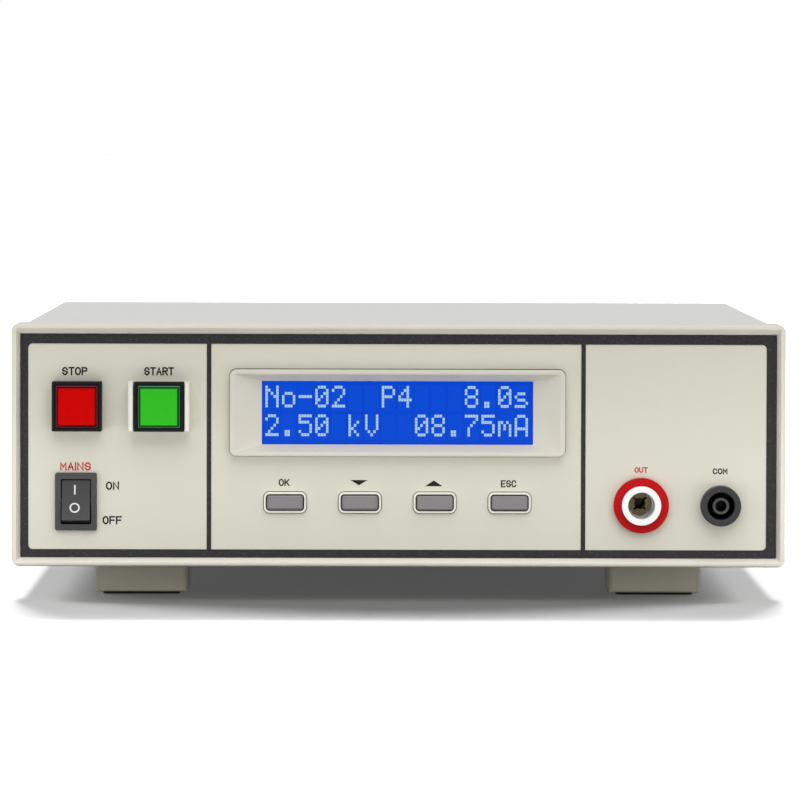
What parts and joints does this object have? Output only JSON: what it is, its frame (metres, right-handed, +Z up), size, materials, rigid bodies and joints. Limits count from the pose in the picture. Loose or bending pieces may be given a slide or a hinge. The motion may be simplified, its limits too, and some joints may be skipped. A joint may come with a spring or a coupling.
{
  "type": "hipot tester",
  "caption": "Low bench instrument for insulation withstand tests: steel case, moulded bezel, display with keys, lit push buttons, rocker power switch, high-voltage and return sockets, rear fan.",
  "frame": {"origin": "on the table under the middle of the whole part", "axes": "+X is the viewer's right, -Y faces the user, +Z is up"},
  "size_m": [0.28, 0.317, 0.1],
  "materials": {
    "cream_moulding": "fine moulded grain",
    "foot_plastic": "moulded",
    "cover_paint": "textured powder coat",
    "zinc_steel": "zinc plated",
    "cream_panel": "satin print",
    "black_film": "speckled print",
    "display_blue": "lit blue display",
    "display_light": "light guide",
    "circuit_board": "solder mask",
    "black_plastic": "moulded",
    "rocker_black": "satin",
    "red_lens": "clear tinted",
    "green_lens": "clear tinted",
    "grey_key": "satin",
    "red_collar": "satin",
    "white_insulator": "turned",
    "brass": "turned",
    "socket_grey": "satin",
    "nickel": "nickel plated",
    "rubber": "soft",
    "core_steel": "varnished laminations",
    "winding": "cast resin",
    "wrapped_coil": "tape wrapped",
    "aluminium": "extruded"
  },
  "bodies": {
    "case": {"front_bezel": "cream_moulding", "lcd_surround": "cream_moulding", "start_guard": "cream_moulding", "key_collars": "cream_moulding", "feet": "foot_plastic", "top_cover": "cover_paint", "base_chassis": "zinc_steel", "rear_panel": "zinc_steel", "hv_bracket": "zinc_steel", "supply_clamp": "zinc_steel", "panel_spacers": "zinc_steel", "front_panel": "cream_panel", "border_film": "black_film", "lcd_glass": "display_blue", "lcd_backlight": "display_light", "lcd_board": "circuit_board", "key_board": "circuit_board", "control_board": "circuit_board", "amplifier_board": "circuit_board", "stop_switch_body": "black_plastic", "start_switch_body": "black_plastic", "power_switch_body": "black_plastic", "mains_inlet": "black_plastic", "selector_body": "black_plastic", "fan_frame": "black_plastic", "control_parts": "black_plastic", "power_transistors": "black_plastic", "key_switches": "black_plastic", "stop_switch_nut": "black_plastic", "start_switch_nut": "black_plastic", "hv_collar": "red_collar", "hv_insulator": "white_insulator", "hv_nut": "white_insulator", "hv_contact": "brass", "earth_stud": "brass", "board_standoffs": "brass", "return_body": "socket_grey", "return_nut": "socket_grey", "return_contact": "nickel", "inlet_pins": "nickel", "cover_screws": "nickel", "rear_screws": "nickel", "fan_guard": "nickel", "remote_connectors": "nickel", "lcd_frame": "nickel", "foot_pads": "rubber", "hv_core": "core_steel", "hv_coil": "winding", "supply_coil": "wrapped_coil", "heat_sink": "aluminium"},
    "stop_button": {"stop_lens": "red_lens"},
    "start_button": {"start_lens": "green_lens"},
    "rocker": {"power_rocker": "rocker_black"},
    "key_1": {"key_1": "grey_key"},
    "key_2": {"key_2": "grey_key"},
    "key_3": {"key_3": "grey_key"},
    "key_4": {"key_4": "grey_key"},
    "fan_rotor": {"fan_rotor": "black_plastic"},
    "fuse_drawer": {"fuse_drawer": "black_plastic"},
    "selector_slider": {"selector_slider": "red_collar"}
  },
  "joints": [
    {"name": "stop_press", "type": "slide", "parent": "case", "child": "stop_button", "axis": [0, 1, 0], "range_m": [0, 0.003], "stiffness_N_per_m": 800},
    {"name": "start_press", "type": "slide", "parent": "case", "child": "start_button", "axis": [0, 1, 0], "range_m": [0, 0.003], "stiffness_N_per_m": 800},
    {"name": "power_rock", "type": "hinge", "parent": "case", "child": "rocker", "pos_m": [-0.1167, -0.149, 0.0354], "axis": [1, 0, 0], "range_deg": [0, 24]},
    {"name": "key_1_press", "type": "slide", "parent": "case", "child": "key_1", "axis": [0, 1, 0], "range_m": [0, 0.0008], "stiffness_N_per_m": 1500},
    {"name": "key_2_press", "type": "slide", "parent": "case", "child": "key_2", "axis": [0, 1, 0], "range_m": [0, 0.0008], "stiffness_N_per_m": 1500},
    {"name": "key_3_press", "type": "slide", "parent": "case", "child": "key_3", "axis": [0, 1, 0], "range_m": [0, 0.0008], "stiffness_N_per_m": 1500},
    {"name": "key_4_press", "type": "slide", "parent": "case", "child": "key_4", "axis": [0, 1, 0], "range_m": [0, 0.0008], "stiffness_N_per_m": 1500},
    {"name": "fan_spin", "type": "hinge", "parent": "case", "child": "fan_rotor", "pos_m": [-0.0781, 0.13, 0.0556], "axis": [0, 1, 0], "continuous": true},
    {"name": "drawer_slide", "type": "slide", "parent": "case", "child": "fuse_drawer", "axis": [0, 1, 0], "range_m": [0, 0.014]},
    {"name": "selector_slide", "type": "slide", "parent": "case", "child": "selector_slider", "axis": [1, 0, 0], "range_m": [0, 0.006]}
  ]
}
